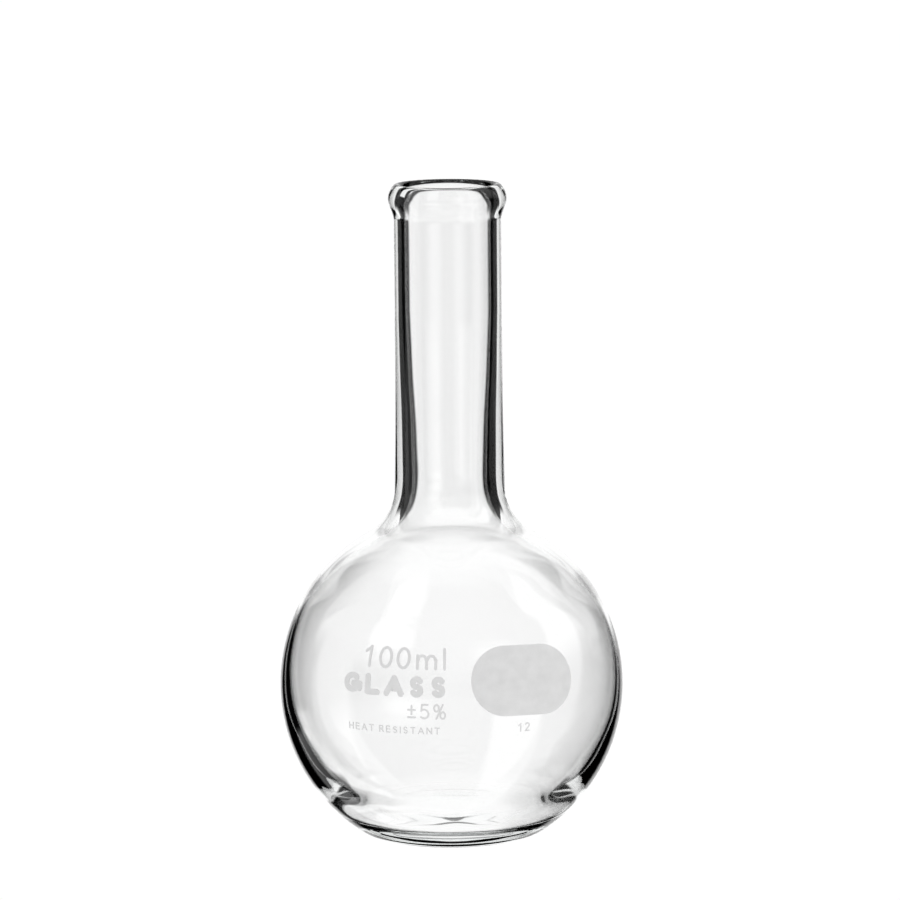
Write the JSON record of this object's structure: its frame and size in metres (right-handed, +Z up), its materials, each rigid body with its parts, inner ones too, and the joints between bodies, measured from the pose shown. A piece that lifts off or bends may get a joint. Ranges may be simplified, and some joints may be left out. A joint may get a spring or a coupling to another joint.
{
  "type": "flat-bottomed boiling flask",
  "caption": "Clear blown glass flask with a ball-shaped bulb, a flat base, a long straight neck and a beaded rim, with fired-on enamel marks and a writing patch.",
  "frame": {"origin": "centre of the base, on the plane that the flask stands on", "axes": "+Z up the axis of the neck, -Y towards the side with the enamel marks, +X to the right of someone who reads them"},
  "size_m": [0.064, 0.064, 0.1214],
  "materials": {
    "glass": "clear fire-polished borosilicate glass",
    "enamel": "fired-on white enamel, satin",
    "patch_enamel": "fired-on white enamel, matt enough to write on"
  },
  "bodies": {
    "root": {"flask_body": "glass", "capacity_mark": "enamel", "material_mark": "enamel", "tolerance_mark": "enamel", "small_print_mark": "enamel", "batch_mark": "enamel", "writing_patch": "patch_enamel"}
  },
  "joints": []
}
